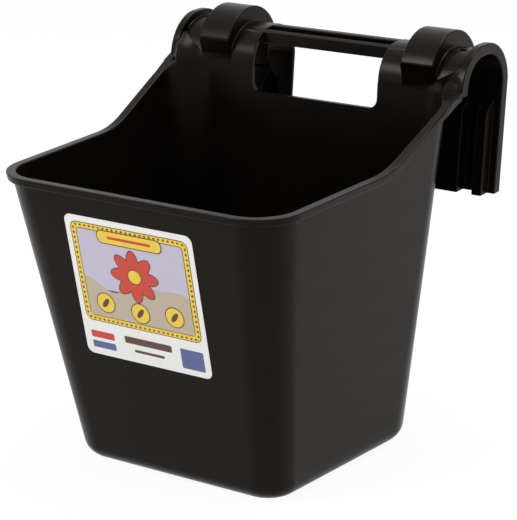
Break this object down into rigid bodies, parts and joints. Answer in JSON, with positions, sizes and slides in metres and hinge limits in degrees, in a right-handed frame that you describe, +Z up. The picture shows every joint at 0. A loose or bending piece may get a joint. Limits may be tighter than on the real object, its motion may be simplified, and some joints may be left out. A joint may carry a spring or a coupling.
{
  "type": "hook over feeder bucket",
  "caption": "Moulded feeder bucket with a swept rim, two inverted-U hooks that hang over a fence board, a hand grip between them and a printed front label.",
  "frame": {"origin": "on the floor, under the middle of the whole feeder's footprint, hooks included", "axes": "+Z up, -Y towards the front wall that carries the label, +Y towards the hooks, +X to the right seen from the front"},
  "size_m": [0.28, 0.329, 0.323],
  "materials": {
    "polyethylene": "near-black satin moulded polyethylene",
    "label_film": "printed white film"
  },
  "bodies": {
    "root": {"tub": "polyethylene", "hook_left": "polyethylene", "hook_right": "polyethylene", "grip": "polyethylene", "label": "label_film"}
  },
  "joints": []
}
